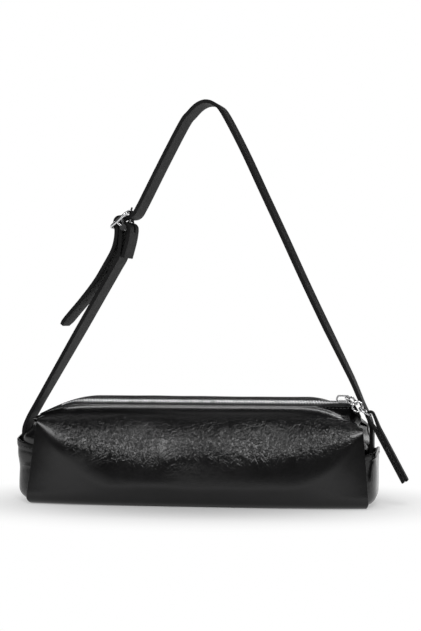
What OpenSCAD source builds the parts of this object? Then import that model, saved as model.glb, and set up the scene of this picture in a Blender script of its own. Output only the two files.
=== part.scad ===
// Baguette shoulder bag: a long leather pouch with a metal zip along the top, a sewn panel and a tab at
// each end, and a flat shoulder strap joined by a buckle. X runs along the bag, Y from front to back,
// Z up, and the origin is the middle of the base on the surface that the bag stands on.

/* [Bag body] */
// Length over the two end panels
bag_length = 302.6; // [270:1:340]
// Depth from front to back at the fullest
bag_depth = 90; // [80:1:110]
// Height of the leather's folded edge in front of the zip
front_height = 81.6; // [76:0.2:86]
// Height of the crest behind the zip
back_height = 87; // [82:0.5:96]
// Thickness of the outer leather
leather = 2; // [1.4:0.1:2.4]
// Width of the gap in the leather that the zip fills
zip_gap = 16; // [14:0.5:22]
// Height of the rounded front below the zip
front_round = 36; // [24:1:44]
// Rounding of the back where it turns over to the zip
back_round = 22; // [14:1:30]
// Rounding along the base
base_round = 8; // [6:0.5:14]

/* [Pinched ends] */
// Depth between the front and back end seams at the base
seam_depth = 82; // [74:1:90]
// Depth between the pinched top corners
tip_depth = 76; // [68:1:84]
// How far the slumped left seam sits in from the end panel's face
left_inset = 12.8; // [6:0.2:16]
// How far the right seam sits in from the end panel's face
right_inset = 3.8; // [3:0.2:12]
// How far the left pinched corner leans in from its seam
left_lean = 9.2; // [3:0.2:12]
// How far the right pinched corner leans in from its seam
right_lean = 5; // [2:0.2:12]
// Height of the left pinched corners
left_tip = 71; // [62:0.5:76]
// Height of the right pinched corners
right_tip = 65; // [60:0.5:74]

/* [End panels] */
// Height of the end panel's hem in the middle, over the strap's end
hem_height = 57; // [52:0.5:62]
// Height of the hem at the seams
hem_side = 45; // [38:0.5:52]
// Thickness of the end panels
panel_leather = 2; // [1.4:0.1:2.6]
// Thickness of the tab behind the hem
tab_leather = 1.6; // [1.2:0.1:2.2]

/* [Zip] */
// Height of the zip tape's middle plane
zip_height = 83.6; // [80:0.2:88]
// Distance from the left end panel's face to the zip's level run
zip_left_inset = 34.3; // [31:0.5:50]
// Distance from the right end panel's face to the zip's level run
zip_right_inset = 19.3; // [17:0.5:32]
// Distance between teeth on one tape
tooth_pitch = 2.4; // [2.1:0.05:2.8]
// Height of a tooth
tooth_height = 2.6; // [2.2:0.1:3]
// Thickness of the tape
tape = 0.6; // [0.4:0.05:0.8]
// Length of the slider
slider_length = 13; // [11:0.5:16]
// Width of the slider over its shoulders
slider_width = 10; // [9:0.2:11.5]
// Thickness of the slider's plates
slider_plate = 1.3; // [1:0.1:1.6]

/* [Puller] */
// Thickness of the wire in the puller's links
link_wire = 1.8; // [1.4:0.1:2.2]
// Length of the link that hangs from the slider
link_length = 26.6; // [24:0.2:29]
// Width over the small ring in the middle of the chain
small_ring = 10.2; // [9:0.2:12]
// Width over the ring that the leather puller hangs from
large_ring = 12.6; // [11:0.2:15]
// Width of the leather puller
puller_width = 12; // [9:0.5:14]
// Length of the leather puller's two layers
puller_length = 61; // [45:1:70]
// Thickness of one layer of the leather puller
puller_leather = 2.3; // [1.6:0.1:2.8]

/* [Strap] */
// Width of the strap
strap_width = 26; // [22:0.5:28]
// Thickness of the strap
strap_thick = 3; // [2.4:0.1:3.4]
// Height of the sewn point that each strap end swings about
anchor_height = 45; // [42:0.5:48]
// Turn of the strap's flat away from square to the bag
strap_lean = 4.5; // [0:0.5:6]

/* [Buckle] */
// Thickness of the buckle's wire
buckle_wire = 3; // [2.4:0.1:3.2]
// Distance between the middles of the buckle's two cross bars
buckle_length = 20; // [18:0.5:24]
// Thickness of the bar that the short strap is folded over
bar_wire = 3; // [2.4:0.1:3.2]
// Thickness of the prong
prong_thick = 1.6; // [1.2:0.1:1.8]

/* [Inside] */
// Thickness of the lining
lining_thick = 0.8; // [0.5:0.1:1.2]
// Thickness of the stiffening board in the base
board_thick = 1.5; // [1:0.1:2.5]

/* [Hidden] */
$fn = 40;

black_leather = "#1c1b1c";
strap_leather = "#242324";
silver = "#c9cbce";
tape_black = "#121212";
cloth = "#3a3a3c";

seat = 0.15;            // gap between sewn layers
slip = 0.3;             // gap between pieces that slide on each other
end_x = bag_length / 2; // outer face of the end panels
zip_left = end_x - zip_left_inset;   // where the level run of the zip ends on the left
zip_right = end_x - zip_right_inset; // and on the right

// Number helpers
function clamp(v, lo = 0, hi = 1) = min(hi, max(lo, v));
function mix(a, b, t) = a + (b - a) * t;
function join(lists) = [for (part = lists) for (item = part) item];

// Body section. side is 0 at the left end and 1 at the right end.
function inset(side) = side == 0 ? left_inset : right_inset;
function lean_in(side) = side == 0 ? left_lean : right_lean;
function tip_height(side) = side == 0 ? left_tip : right_tip;
function zip_run(side) = side == 0 ? zip_left : zip_right;
function seam_x(side, z) = end_x - inset(side) - lean_in(side) * z / tip_height(side);
roof_end = end_x - 13.3;  // where the leather beside the zip ends, over the tabs
roof_drop = 13;           // how far the zip's line falls over the bag's end
end_gap = 10;             // width of the zip's gap at the bag's end
pinch_start = 0.66;       // share of the half length where the section starts to pinch
tip_round = 3;
wall_bulge = 2.5;
base_depth = bag_depth - 4;

function pinch(s) = pow(clamp((abs(s) - pinch_start) / (1 - pinch_start)), 2);
function roof_x(s) = s * roof_end;
function side_of(s) = s < 0 ? 0 : 1;
function past_zip(s) = let (run = zip_run(side_of(s))) clamp((abs(roof_x(s)) - run) / (roof_end - run));
function roof_fall(s) = roof_drop * pow(past_zip(s), 1.5);

// Quarter turn of a corner, in steps, from angle a0 to a1, ry deep and rz high
function arc(cy, cz, ry, rz, a0, a1, n) =
    [for (i = [0:n]) let (a = mix(a0, a1, i / n)) [cy + ry * cos(a), cz + rz * sin(a)]];

// Half of the section on one side of the zip, from the zip's edge down to the base
function half_section(s, edge_z, crest_z, round_y, round_z) =
    let (e = pinch(s), side = side_of(s), fall = roof_fall(s),
        ry = mix(round_y, tip_round, e), rz = mix(round_z, tip_round, e),
        top = mix(crest_z, tip_height(side), e),
        yt = mix(bag_depth, tip_depth, e) / 2, yb = mix(base_depth, seam_depth, e) / 2,
        gap = mix(zip_gap, end_gap, past_zip(s)) / 2)
    concat(
        [[-gap, edge_z - fall], [-mix(gap, yt - ry, 0.5), mix(edge_z - fall, top, 0.6)]],
        arc(-(yt - ry), top - rz, ry, rz, 90, 180, 6),
        [for (t = [0.25, 0.5, 0.75])
            [-mix(yt, yb, t) - wall_bulge * (1 - e) * sin(180 * t), mix(top - rz, base_round, t)]],
        arc(-(yb - base_round), base_round, base_round, base_round, 180, 270, 4));
function mirrored(points) = [for (i = [len(points) - 1:-1:0]) [-points[i][0], points[i][1]]];
function section(s) = concat(
    half_section(s, front_height, front_height, (bag_depth - zip_gap) / 2 - 1, front_round), [[0, 0]],
    mirrored(half_section(s, mix(front_height, back_height, 0.66), back_height, back_round, back_round)));

// The same section moved inwards by a distance
function inward(points, d) = [for (i = [0:len(points) - 1])
    let (a = points[max(i - 1, 0)], b = points[min(i + 1, len(points) - 1)], v = b - a)
    points[i] + d * [-v[1], v[0]] / norm(v)];

// Where a section's points lie along the bag: the corners lean in with their height
function along(s, p) =
    let (side = side_of(s), t = clamp((tip_depth / 2 - abs(p[0])) / 20),
        top = clamp((p[1] - mix(tip_height(side), hem_side, 0.6)) / 8),
        x = seam_x(side, min(p[1], tip_height(side))))
    s * mix(x, roof_end, t * top);

stations = concat([for (t = [1:-0.25:0]) -mix(zip_left, roof_end, t) / roof_end],
    [for (i = [1:13]) mix(-zip_left, zip_right, 0.5 - 0.5 * cos(180 * i / 14)) / roof_end],
    [for (t = [0:0.25:1]) mix(zip_right, roof_end, t) / roof_end]);

// Faces of a closed solid between two grids of points. With ends it is a pouch that is open at its top
// and closed at both ends; without, it is an open sheet.
function quad(a, b, c, d) = [[a, b, c], [a, c, d]];
function skin_faces(n, m, ends) =
    let (at = function (layer, i, j) layer * n * m + i * m + j)
    join(concat(
        [for (i = [0:n - 2], j = [0:m - 2]) each [
            quad(at(0, i, j), at(0, i, j + 1), at(0, i + 1, j + 1), at(0, i + 1, j)),
            quad(at(1, i, j), at(1, i + 1, j), at(1, i + 1, j + 1), at(1, i, j + 1))]],
        [for (i = [0:n - 2]) each [
            quad(at(0, i, 0), at(0, i + 1, 0), at(1, i + 1, 0), at(1, i, 0)),
            quad(at(0, i, m - 1), at(1, i, m - 1), at(1, i + 1, m - 1), at(0, i + 1, m - 1))]],
        ends ? concat(
            [for (layer = [0, 1], i = [0, n - 1], j = [0:floor(m / 2) - 1])
                let (a = at(layer, i, j), b = at(layer, i, j + 1), c = at(layer, i, m - 2 - j),
                    d = at(layer, i, m - 1 - j), turned = (layer == 1) != (i > 0))
                turned ? quad(a, b, c, d) : quad(a, d, c, b)],
            [quad(at(0, 0, 0), at(1, 0, 0), at(1, 0, m - 1), at(0, 0, m - 1)),
            quad(at(0, n - 1, 0), at(0, n - 1, m - 1), at(1, n - 1, m - 1), at(1, n - 1, 0))])
        : [for (j = [0:m - 2]) each [
            quad(at(0, 0, j), at(1, 0, j), at(1, 0, j + 1), at(0, 0, j + 1)),
            quad(at(0, n - 1, j), at(0, n - 1, j + 1), at(1, n - 1, j + 1), at(1, n - 1, j))]]));

// The solid itself, with its faces turned outwards whichever way the grids run
module sheet(outer, inner, ends = false) {
    n = len(outer);
    m = len(outer[0]);
    i = floor(n / 2);
    j = floor(m / 2);
    facing = cross(outer[i][j] - outer[i][j - 1], outer[i][j] - outer[i - 1][j]) * (outer[i][j] - inner[i][j]);
    faces = skin_faces(n, m, ends);
    polyhedron(join([join(outer), join(inner)]),
        facing < 0 ? faces : [for (f = faces) [f[0], f[2], f[1]]], convexity = 8);
}

// A sheet that follows the body's section, set in by d and as thick as t
module body_sheet(steps, first, d, t) {
    function grid(depth) = [for (s = steps)
        let (full = section(s), moved = inward(full, depth))
        [for (i = [first:len(full) - 1 - first]) [along(s, full[i]), moved[i][0], moved[i][1]]]];
    sheet(grid(d), grid(d + t));
}

module body_wrap() {
    color(black_leather) body_sheet(stations, 0, 0, leather);
}

// Half width of the space inside the wrap's end, at a height
function end_half(side, z) =
    let (yt = tip_depth / 2, yb = seam_depth / 2, r = base_round, rim = leather + seat,
        t = clamp((z - r) / (tip_height(side) - tip_round - r)))
    z < r ? yb - r + sqrt(max(0, pow(r - rim, 2) - pow(r - z, 2))) : mix(yb, yt, t) - rim;

strap_x = end_x - panel_leather - slip - strap_thick / 2;
pocket_flat = 0.62;      // share of the panel's half width that is flat over the strap's end
panel_foot = 16;         // height where the panel starts to turn in to the base
rim_in = 1.5;            // how far the panel's rim sits inside the seam

// Falls from 0 in the flat middle to 1 at the panel's rim
function rim_fall(side, y, z) = 1 -
    (1 - pow(clamp((abs(y) / end_half(side, z) - pocket_flat) / (1 - pocket_flat)), 2))
    * (1 - pow(clamp((panel_foot - z) / (panel_foot - leather)), 2));
function panel_x(side, y, z) =
    mix(end_x, seam_x(side, z) - rim_in, rim_fall(side, y, z));
function hem_z(share) = mix(hem_height, hem_side, pow(abs(share), 1.7));

module end_panel(side) {
    low = leather + seat;
    way = side == 0 ? -1 : 1;
    across = [for (j = [-9:9]) sign(j) * pow(abs(j) / 9, 0.85)];
    rows = [0, 0.05, 0.12, 0.22, 0.36, 0.52, 0.7, 0.86, 1];
    function grid(depth) = [for (v = rows) [for (share = across)
        let (z = mix(low, hem_z(share), v), y = share * end_half(side, z))
        [way * (panel_x(side, y, z) - depth), y, z]]];
    sheet(grid(0), grid(panel_leather));
}

// The strap's inner face over the anchor, as a distance out from the middle, by its height s over it
function leg_x(side, s) = let (path = side == 0 ? left_leg : right_leg, z = anchor_height + s)
    lookup(z, [for (p = path) [p[1], abs(p[0])]]) - strap_thick / 2;
swing = 30;              // how far the strap swings to each side, in degrees
tab_low = 30;            // lower, hidden edge of the tab
tab_bend = 60;           // height from which the tab leans in to the roof's end
tab_lean = 0.018;

// How far out the tab may stand under the swinging strap
function tab_x(side, y, z) =
    let (up = z - anchor_height, r = norm([y, up]), phi = atan2(y, up),
        theta = clamp(phi, -swing, swing), s = r * cos(phi - theta), off = r * abs(sin(phi - theta)),
        free = clamp((off - strap_width / 2 - 1) / 7),
        flat_x = strap_x - strap_thick / 2 - slip,
        under = min(flat_x, leg_x(side, max(s, 0)) - 2 * slip) - tab_lean * pow(max(0, z - tab_bend), 2),
        rim = pow(clamp((abs(y) / end_half(side, z) - pocket_flat) / (1 - pocket_flat)), 2))
    mix(mix(under, flat_x, free), seam_x(side, z) - rim_in - panel_leather - seat, rim);
function tab_top(side, share) =
    mix(front_height - roof_drop + 0.4, tip_height(side) - 6, abs(share));

module end_tab(side) {
    way = side == 0 ? -1 : 1;
    across = [for (j = [-8:8]) j / 8];
    rows = [0, 0.2, 0.4, 0.55, 0.7, 0.82, 0.92, 1];
    function grid(depth) = [for (v = rows) [for (share = across)
        let (z = mix(tab_low, tab_top(side, share), v), y = share * (end_half(side, z) - seat))
        [way * (tab_x(side, y, z) - depth), y, z]]];
    sheet(grid(0), grid(tab_leather));
}

module left_end_panel() { color(black_leather) end_panel(0); }
module right_end_panel() { color(black_leather) end_panel(1); }
module left_end_tab() { color(black_leather) end_tab(0); }
module right_end_tab() { color(black_leather) end_tab(1); }

// Inside: a lining over a stiff board
lining_in = leather + board_thick + 4 * seat;
lining_steps = [-0.87, -0.8, -0.7, -0.55, -0.35, -0.12, 0.12, 0.35, 0.55, 0.7, 0.8, 0.87];

module lining() {
    function reach(s) = s * (end_x - inset(side_of(s)));
    function grid(depth) = [for (s = lining_steps)
        let (moved = inward(section(s), lining_in + depth), near = s == lining_steps[0] ? 1
            : s == lining_steps[len(lining_steps) - 1] ? -1 : 0)
        [for (i = [5:len(moved) - 6]) [reach(s) + near * depth, moved[i][0], moved[i][1]]]];
    color(cloth) sheet(grid(0), grid(lining_thick), true);
}

module base_board() {
    width = seam_depth - 2 * base_round - 2;
    length = 2 * (end_x - left_inset - 8);
    color(cloth) translate([-length / 2, -width / 2, leather + seat])
        cube([length, width, board_thick]);
}

// Zip. The tapes carry the teeth along the middle and are sewn under the leather's edges.
stop_length = 2.4;
slider_x = zip_right - slider_length / 2 - 1;
slider_room = tooth_height / 2 + slip;
teeth_start = -zip_left + stop_length + 0.9;
teeth_end = slider_x + 1;
bead = 0.9;              // distance from the zip's middle to the tape's edge

module zip_tape(way) {
    flat_edge = slider_width / 2 + 0.5;
    function profile(s) =
        let (full = section(s), last = len(full) - 1, z = zip_height - roof_fall(s),
            a = full[way < 0 ? 0 : last], b = full[way < 0 ? 1 : last - 1], v = (b - a) / norm(b - a),
            under = a - way * (leather + 4 * seat + tape / 2) * [-v[1], v[0]])
        [[way * bead, z], [way * min(flat_edge, abs(a[0]) - 2), z], under - 0.5 * v, under + 3 * v];
    function grid(side) = [for (s = stations) [for (p = profile(s)) [roof_x(s), p[0], p[1] + side * tape / 2]]];
    sheet(grid(1), grid(-1));
}

module front_zip_tape() { color(tape_black) zip_tape(-1); }
module back_zip_tape() { color(tape_black) zip_tape(1); }

// One tooth: two legs clamped on the tape's edge, a waist, and a head that hooks past the middle
module tooth() {
    half = tooth_pitch * 0.235;
    waist = half * 0.72;
    head = bead - seat;
    leg = 2.9;
    difference() {
        translate([0, 0, -tooth_height / 2]) linear_extrude(tooth_height)
            polygon([[-half * 0.8, -head], [half * 0.8, -head], [half, -head * 0.6], [waist, 0.2],
                [half, bead], [half * 0.9, leg], [-half * 0.9, leg], [-half, bead], [-waist, 0.2],
                [-half, -head * 0.6]]);
        translate([-tooth_pitch, bead - seat / 2, -tape / 2 - seat / 2])
            cube([2 * tooth_pitch, leg, tape + seat]);
    }
}

module teeth_row(way) {
    first = way < 0 ? teeth_start : teeth_start + tooth_pitch / 2;
    for (x = [first:tooth_pitch:teeth_end])
        translate([x, 0, zip_height]) mirror([0, way < 0 ? 1 : 0, 0]) tooth();
}

module front_zip_teeth() { color(silver) teeth_row(-1); }
module back_zip_teeth() { color(silver) teeth_row(1); }

module zip_top_stops() {
    color(silver) for (way = [-1, 1])
        translate([zip_right - seat - stop_length / 2, way * 1.9, zip_height]) difference() {
            cube([stop_length, 2.2, tooth_height], center = true);
            cube([2 * stop_length, 3, tape + seat], center = true);
        }
}

module zip_bottom_stop() {
    color(silver) translate([-zip_left + seat + stop_length / 2, 0, zip_height]) difference() {
        cube([stop_length, 5, tooth_height], center = true);
        for (way = [-1, 1]) translate([0, way * (bead + 1.5), 0])
            cube([2 * stop_length, 3 + 2 * seat, tape + seat], center = true);
    }
}

// Outline of a slider plate seen from above, wider at its shoulders
module slider_outline() {
    tail = slider_width * 0.76;
    nose = slider_length * 0.3;
    translate([-slider_length / 2 + nose / 2, -tail / 2]) square([slider_length - nose, tail]);
    translate([-slider_length / 2 + tail / 2, 0]) circle(d = tail);
    for (way = [-1, 1]) translate([slider_length / 2 - 3.2, way * (slider_width / 2 - 2.4)]) circle(r = 2.4);
    translate([slider_length / 2 - 5.6, -slider_width / 2 + 1.2]) square([4.6, slider_width - 2.4]);
}

crown_length = 12;
crown_height = 4.2;
crown_post = 1.5;         // thickness of the crown's two feet
crown_width = 2.6;

module zip_slider() {
    plate_z = slider_room;
    flange = slider_room - tape / 2 - 0.35;
    color(silver) translate([slider_x, 0, zip_height]) {
        for (way = [0, 1]) mirror([0, 0, way]) {
            translate([0, 0, plate_z]) linear_extrude(slider_plate) slider_outline();
            translate([0, 0, plate_z - flange]) linear_extrude(flange) difference() {
                slider_outline();
                translate([-slider_length, -3.4]) square([2 * slider_length, 6.8]);
            }
        }
        // wedge that parts the teeth
        translate([slider_length / 2 - 2.6, 0, -plate_z]) cylinder(r = bead - 2 * seat, h = 2 * plate_z);
        // crown that the first link hangs from
        translate([-1, 0, plate_z + slider_plate]) rotate([90, 0, 0])
            linear_extrude(crown_width, center = true) difference() {
                intersection() {
                    circle(r = crown_length / 2);
                    translate([-crown_length, -0.05]) square([2 * crown_length, crown_height + 0.05]);
                }
                intersection() {
                    circle(r = crown_length / 2 - crown_post);
                    translate([-crown_length, 0]) square([2 * crown_length, crown_height - 1.2]);
                }
            }
    }
}

// Puller: a long wire link, a ring and a folded leather strip
// Ring of wire with two straight sides, centred, its length along X and flat in XY
module wire_link(half_length, half_width) {
    straight = half_length - half_width;
    for (way = [0, 1]) mirror([way, 0, 0]) translate([straight, 0, 0]) rotate([0, 0, -90])
        rotate_extrude(angle = 180) translate([half_width, 0]) circle(d = link_wire, $fn = 16);
    if (straight > 0) for (way = [-1, 1]) translate([0, way * half_width, 0]) rotate([0, 90, 0])
        cylinder(d = link_wire, h = 2 * straight, center = true, $fn = 16);
}

link_half = [(link_length - link_wire) / 2, 3.2];
small_r = (small_ring - link_wire) / 2;
large_r = (large_ring - link_wire) / 2;
crown_foot = [slider_x - 1 + (crown_length - crown_post) / 2, 0, zip_height + slider_room + slider_plate + 1.7];

// The link lies forwards past the strap's edge, and the two rings hang from it towards the bag's end
function towards(turn, slope) = [cos(turn) * cos(slope), -sin(turn) * cos(slope), -sin(slope)];
link_turn = 76;
link_slope = 11;
ring_turn = 8;
ring_slope = 33;
link_dir = towards(link_turn, link_slope);
ring_dir = towards(ring_turn, ring_slope);
link_mid = crown_foot + (link_half[0] - link_half[1]) * link_dir;
small_mid = link_mid + (link_half[0] - link_wire - seat) * link_dir + (small_r - seat) * ring_dir;
large_mid = small_mid + (small_r + large_r - link_wire - 2 * seat) * ring_dir;
loop_at = large_mid + (large_r - 2 * seat) * ring_dir;

module pull_chain() {
    color(silver) {
        translate(link_mid) rotate([0, link_slope, -link_turn]) wire_link(link_half[0], link_half[1]);
        translate(small_mid) rotate([0, ring_slope, -ring_turn]) rotate([90, 0, 0])
            wire_link(small_r, small_r);
        translate(large_mid) rotate([0, ring_slope, -ring_turn]) wire_link(large_r, large_r);
    }
}

// Sweeps a flat strip along a path in the XZ plane. Its width lies along Y, and turn shears it.
function path_normal(path, i) =
    let (a = path[max(i - 1, 0)], b = path[min(i + 1, len(path) - 1)], v = b - a) [-v[1], v[0]] / norm(v);
module strip(path, thick, widths, turns) {
    function side(way) = [for (i = [0:len(path) - 1]) [for (edge = [-1, 1])
        let (p = path[i] + way * thick / 2 * path_normal(path, i), y = edge * widths[i] / 2)
        [p[0] + y * tan(turns[i]), y, p[1]]]];
    sheet(side(-1), side(1));
}

// Smooth curve through the points of a path
function curve_point(p0, p1, p2, p3, t) = 0.5 * (2 * p1 + (p2 - p0) * t
    + (2 * p0 - 5 * p1 + 4 * p2 - p3) * t * t + (3 * p1 - p0 - 3 * p2 + p3) * t * t * t);
function smooth(points, n) = let (last = len(points) - 1) concat(
    [for (i = [0:last - 1], k = [0:n - 1])
        curve_point(points[max(i - 1, 0)], points[i], points[i + 1], points[min(i + 2, last)], k / n)],
    [points[last]]);

puller_turn = 2;
puller_slope = 62;       // slope of the hanging puller in degrees
puller_neck = 4.6;       // width of the puller where it passes through the ring
puller_loop = link_wire / 2 + 0.8 + puller_leather / 2;

// One side of the fold, from the top of the loop to the cut end, in the puller's own plane
function puller_path() =
    let (half = puller_leather / 2 + slip / 2)
    concat([for (z = [puller_length, puller_length * 0.66, puller_length * 0.33, 12]) [-half, -z]],
        [[-mix(half, puller_loop, 0.7), -5]],
        [for (a = [180:-30:0]) puller_loop * [cos(a), sin(a)]],
        [[mix(half, puller_loop, 0.7), -5]],
        [for (z = [12, puller_length * 0.33, puller_length * 0.66, puller_length]) [half, -z]]);

module pull_strip() {
    path = puller_path();
    widths = [for (p = path) mix(puller_neck, puller_width, clamp((-p[1] - 2) / 9))];
    color(strap_leather) translate(loop_at) rotate([0, 0, -puller_turn])
        rotate([0, puller_slope - 90, 0])
        strip(path, puller_leather, widths, [for (p = path) 0]);
}

// Strap. Its paths are points chosen along the middle of the leather, as [x, z].
// They follow the bag's ends and the sewn points.
function placed(points) = [for (p = points) [p[0] * strap_x / 147.5, p[1] + anchor_height - 45]];
strap_foot = 14;         // how far the strap's straight end reaches over the anchor
anchor_l = [-strap_x, anchor_height + strap_foot];
anchor_r = [strap_x, anchor_height + strap_foot];
foot_l = [-strap_x, anchor_height + strap_foot / 2];
foot_r = [strap_x, anchor_height + strap_foot / 2];
right_leg = concat([foot_r, anchor_r], placed([[147.2, 65], [144.8, 73], [140.4, 82], [132.4, 101],
    [124, 118.4]]));
left_leg = concat([foot_l, anchor_l], placed([[-146.4, 64], [-143.4, 71], [-138.6, 79.5], [-131, 92.6],
    [-113.4, 122.7]]));
long_path = concat(right_leg, placed([[107.4, 152.2], [90.9, 187], [74.2, 223.6], [57.5, 259.5],
    [40.7, 295.6], [24.6, 326.4], [17.6, 334], [10, 336.4], [2.4, 333.6], [-4.6, 326.8],
    [-10.6, 319.2], [-27, 288.6], [-44.1, 255.2], [-47.6, 248.6], [-51, 242.8], [-54.4, 240.4],
    [-58.4, 240], [-62, 240.2], [-65, 239.6], [-66.8, 237.4], [-66.9, 234.6], [-66.2, 231],
    [-66.1, 226], [-67.2, 218.6], [-69.8, 211], [-76.2, 199.6], [-84.5, 186], [-96.1, 171],
    [-106.8, 158.6], [-114.8, 149]]));
bar_at = placed([[-58.8, 231.2]])[0]; // middle of the bar that the short strap is folded over
fold_r = bar_wire / 2 + 0.5 + strap_thick / 2;
short_path = concat(left_leg, placed([[-96, 152.4], [-82.8, 175], [-69.6, 197.5], [-64.6, 206.5],
    [-63, 216]]), [bar_at + [-fold_r, -4]], [for (a = [180:-30:0]) bar_at + fold_r * [cos(a), sin(a)]],
    [bar_at + [fold_r - 0.2, -4]], placed([[-56.8, 220], [-59, 211.6], [-60.6, 206]]));
function strap_turn(z) = strap_lean * clamp((z - 85) / 60);

module strap_sweep(points, n) {
    path = smooth(points, n);
    strip(path, strap_thick, [for (p = path) strap_width], [for (p = path) strap_turn(p[1])]);
}

// Flat rounded end of the strap, hidden between the end panel and the tab
module strap_end(side) {
    way = side == 0 ? -1 : 1;
    translate([way * strap_x, 0, 0]) rotate([90, 0, 90]) linear_extrude(strap_thick, center = true) {
        translate([0, anchor_height]) circle(d = strap_width, $fn = 60);
        translate([-strap_width / 2, anchor_height]) square([strap_width, strap_foot / 2]);
    }
}

prong_slot = [5.5, 3.6]; // slot in the strap for the prong: its length and its width
slot_at = bar_at + [1.2, 8.8];
fold_slot = 5;           // width of the slot in the fold, where the prong turns on the bar

module strap_long() {
    color(strap_leather) union() {
        strap_end(1);
        difference() {
            strap_sweep(long_path, 3);
            translate([slot_at[0], 0, slot_at[1]])
                cube([prong_slot[0], prong_slot[1], 3 * strap_thick], center = true);
        }
    }
}

module strap_short() {
    color(strap_leather) union() {
        strap_end(0);
        difference() {
            strap_sweep(short_path, 3);
            translate([bar_at[0], 0, bar_at[1] + 1])
                cube([3 * fold_r, fold_slot, 2 * fold_r + 2], center = true);
        }
    }
}

// Buckle: a ring across the strap, with an eye on each side for the folded strap's bar
ring_tilt = 40;                       // slope of the ring, in degrees
ring_at = bar_at + [-3.5, 6.85];      // middle of the ring
ring_half = strap_width / 2 + 1.5 + buckle_wire / 2;
ring_corner = 4;
eye_r = bar_wire / 2 + 1.3;
bar_half = ring_half + buckle_wire / 2;

// A round rod between two points [x, z] in one plane
module rod(a, b, d) {
    v = b - a;
    translate([a[0], 0, a[1]]) rotate([0, 90 - atan2(v[1], v[0]), 0]) cylinder(d = d, h = norm(v));
}

module ring() {
    half = buckle_length / 2;
    for (way = [-1, 1]) {
        translate([way * half, 0, 0]) rotate([90, 0, 0])
            cylinder(d = buckle_wire, h = 2 * (ring_half - ring_corner), center = true);
        translate([0, way * ring_half, 0]) rotate([0, 90, 0])
            cylinder(d = buckle_wire, h = 2 * (half - ring_corner), center = true);
    }
    for (mx = [0, 1], my = [0, 1]) mirror([mx, 0, 0]) mirror([0, my, 0])
        translate([half - ring_corner, ring_half - ring_corner, 0]) rotate_extrude(angle = 90)
            translate([ring_corner, 0]) circle(d = buckle_wire);
}

module about_bar() {
    translate([bar_at[0], 0, bar_at[1]]) rotate([0, 0, -strap_lean]) translate([-bar_at[0], 0, -bar_at[1]])
        children();
}

module buckle_frame() {
    e = [cos(ring_tilt), sin(ring_tilt)];
    color(silver) about_bar() difference() {
        union() {
            translate([ring_at[0], 0, ring_at[1]]) rotate([0, -ring_tilt, 0]) ring();
            for (way = [-1, 1]) translate([0, way * ring_half, 0]) {
                for (end = [-3.4, 3]) rod(ring_at + end * e, bar_at, buckle_wire * 0.66);
                translate([bar_at[0], 0, bar_at[1]]) rotate([90, 0, 0])
                    cylinder(r = eye_r, h = buckle_wire, center = true);
            }
        }
        translate([bar_at[0], 0, bar_at[1]]) rotate([90, 0, 0])
            cylinder(d = bar_wire + 0.1, h = 4 * bar_half, center = true);
    }
}

module buckle_bar() {
    color(silver) about_bar() translate([bar_at[0], 0, bar_at[1]]) rotate([90, 0, 0])
        cylinder(d = bar_wire, h = 2 * bar_half, center = true);
}

prong_tip = bar_at + [2.9, 17.8];
prong_knee = bar_at + [1.1, 12.3];

module buckle_prong() {
    color(silver) about_bar() difference() {
        union() {
            translate([bar_at[0], 0, bar_at[1]]) rotate([90, 0, 0])
                cylinder(d = bar_wire + 0.2 + 2 * prong_thick * 0.7, h = 3, center = true);
            rod(bar_at + [0.2, bar_wire / 2 + 0.6], prong_knee, prong_thick);
            translate([prong_knee[0], 0, prong_knee[1]]) sphere(d = prong_thick);
            rod(prong_knee, prong_tip, prong_thick);
        }
        translate([bar_at[0], 0, bar_at[1]]) rotate([90, 0, 0])
            cylinder(d = bar_wire + 0.2, h = 10, center = true);
    }
}

body_wrap();
left_end_panel();
right_end_panel();
left_end_tab();
right_end_tab();
lining();
base_board();
front_zip_tape();
back_zip_tape();
front_zip_teeth();
back_zip_teeth();
zip_top_stops();
zip_bottom_stop();
zip_slider();
pull_chain();
pull_strip();
strap_long();
strap_short();
buckle_frame();
buckle_bar();
buckle_prong();
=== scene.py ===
import bpy
import math
import numpy as np
from mathutils import Matrix, Vector, noise


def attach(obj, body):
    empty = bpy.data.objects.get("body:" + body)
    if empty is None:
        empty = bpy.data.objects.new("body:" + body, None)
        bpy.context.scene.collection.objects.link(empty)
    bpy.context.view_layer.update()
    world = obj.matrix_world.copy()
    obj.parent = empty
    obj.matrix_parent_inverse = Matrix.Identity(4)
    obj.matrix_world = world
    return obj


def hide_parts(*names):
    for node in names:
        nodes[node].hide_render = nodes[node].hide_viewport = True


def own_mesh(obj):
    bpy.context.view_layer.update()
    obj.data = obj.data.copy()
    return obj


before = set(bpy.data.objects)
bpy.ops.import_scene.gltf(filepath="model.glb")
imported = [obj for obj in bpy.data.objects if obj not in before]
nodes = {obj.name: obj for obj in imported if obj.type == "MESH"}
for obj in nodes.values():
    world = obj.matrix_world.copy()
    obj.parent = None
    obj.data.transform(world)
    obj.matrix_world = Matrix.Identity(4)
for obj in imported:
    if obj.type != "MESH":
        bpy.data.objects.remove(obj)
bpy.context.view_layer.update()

# The camera stands a little right of square to the bag's front, level, about 1.35 m away,
# and a third of the way up the picture's height above the base.
bpy.ops.object.camera_add(location=(0.2225, -1.3316, 0.157),
                          rotation=(math.radians(90), 0, math.radians(9)))
camera = bpy.context.object
camera.data.lens = 91.1
camera.data.sensor_width = 36
bpy.context.scene.camera = camera

# Outer leather: one sheet of soft glazed black leather from the zip over the front, under the base and
# up the back. It is cut flat, folded in along the zip, pinched at its four top corners and puffed above
# a soft crease, with fine crinkles where the dome catches the light.
MM = 0.001
LEATHER = 2.0              # thickness
BASE_ROUND = 8.0           # radius of the lower corners
END_X = 151.3              # farthest reach of the two ends
ROOF_END = 138.0           # where the leather ends beside the zip
CORNER_OUT = 38.0          # how far a pinched corner stands from the middle plane
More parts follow.
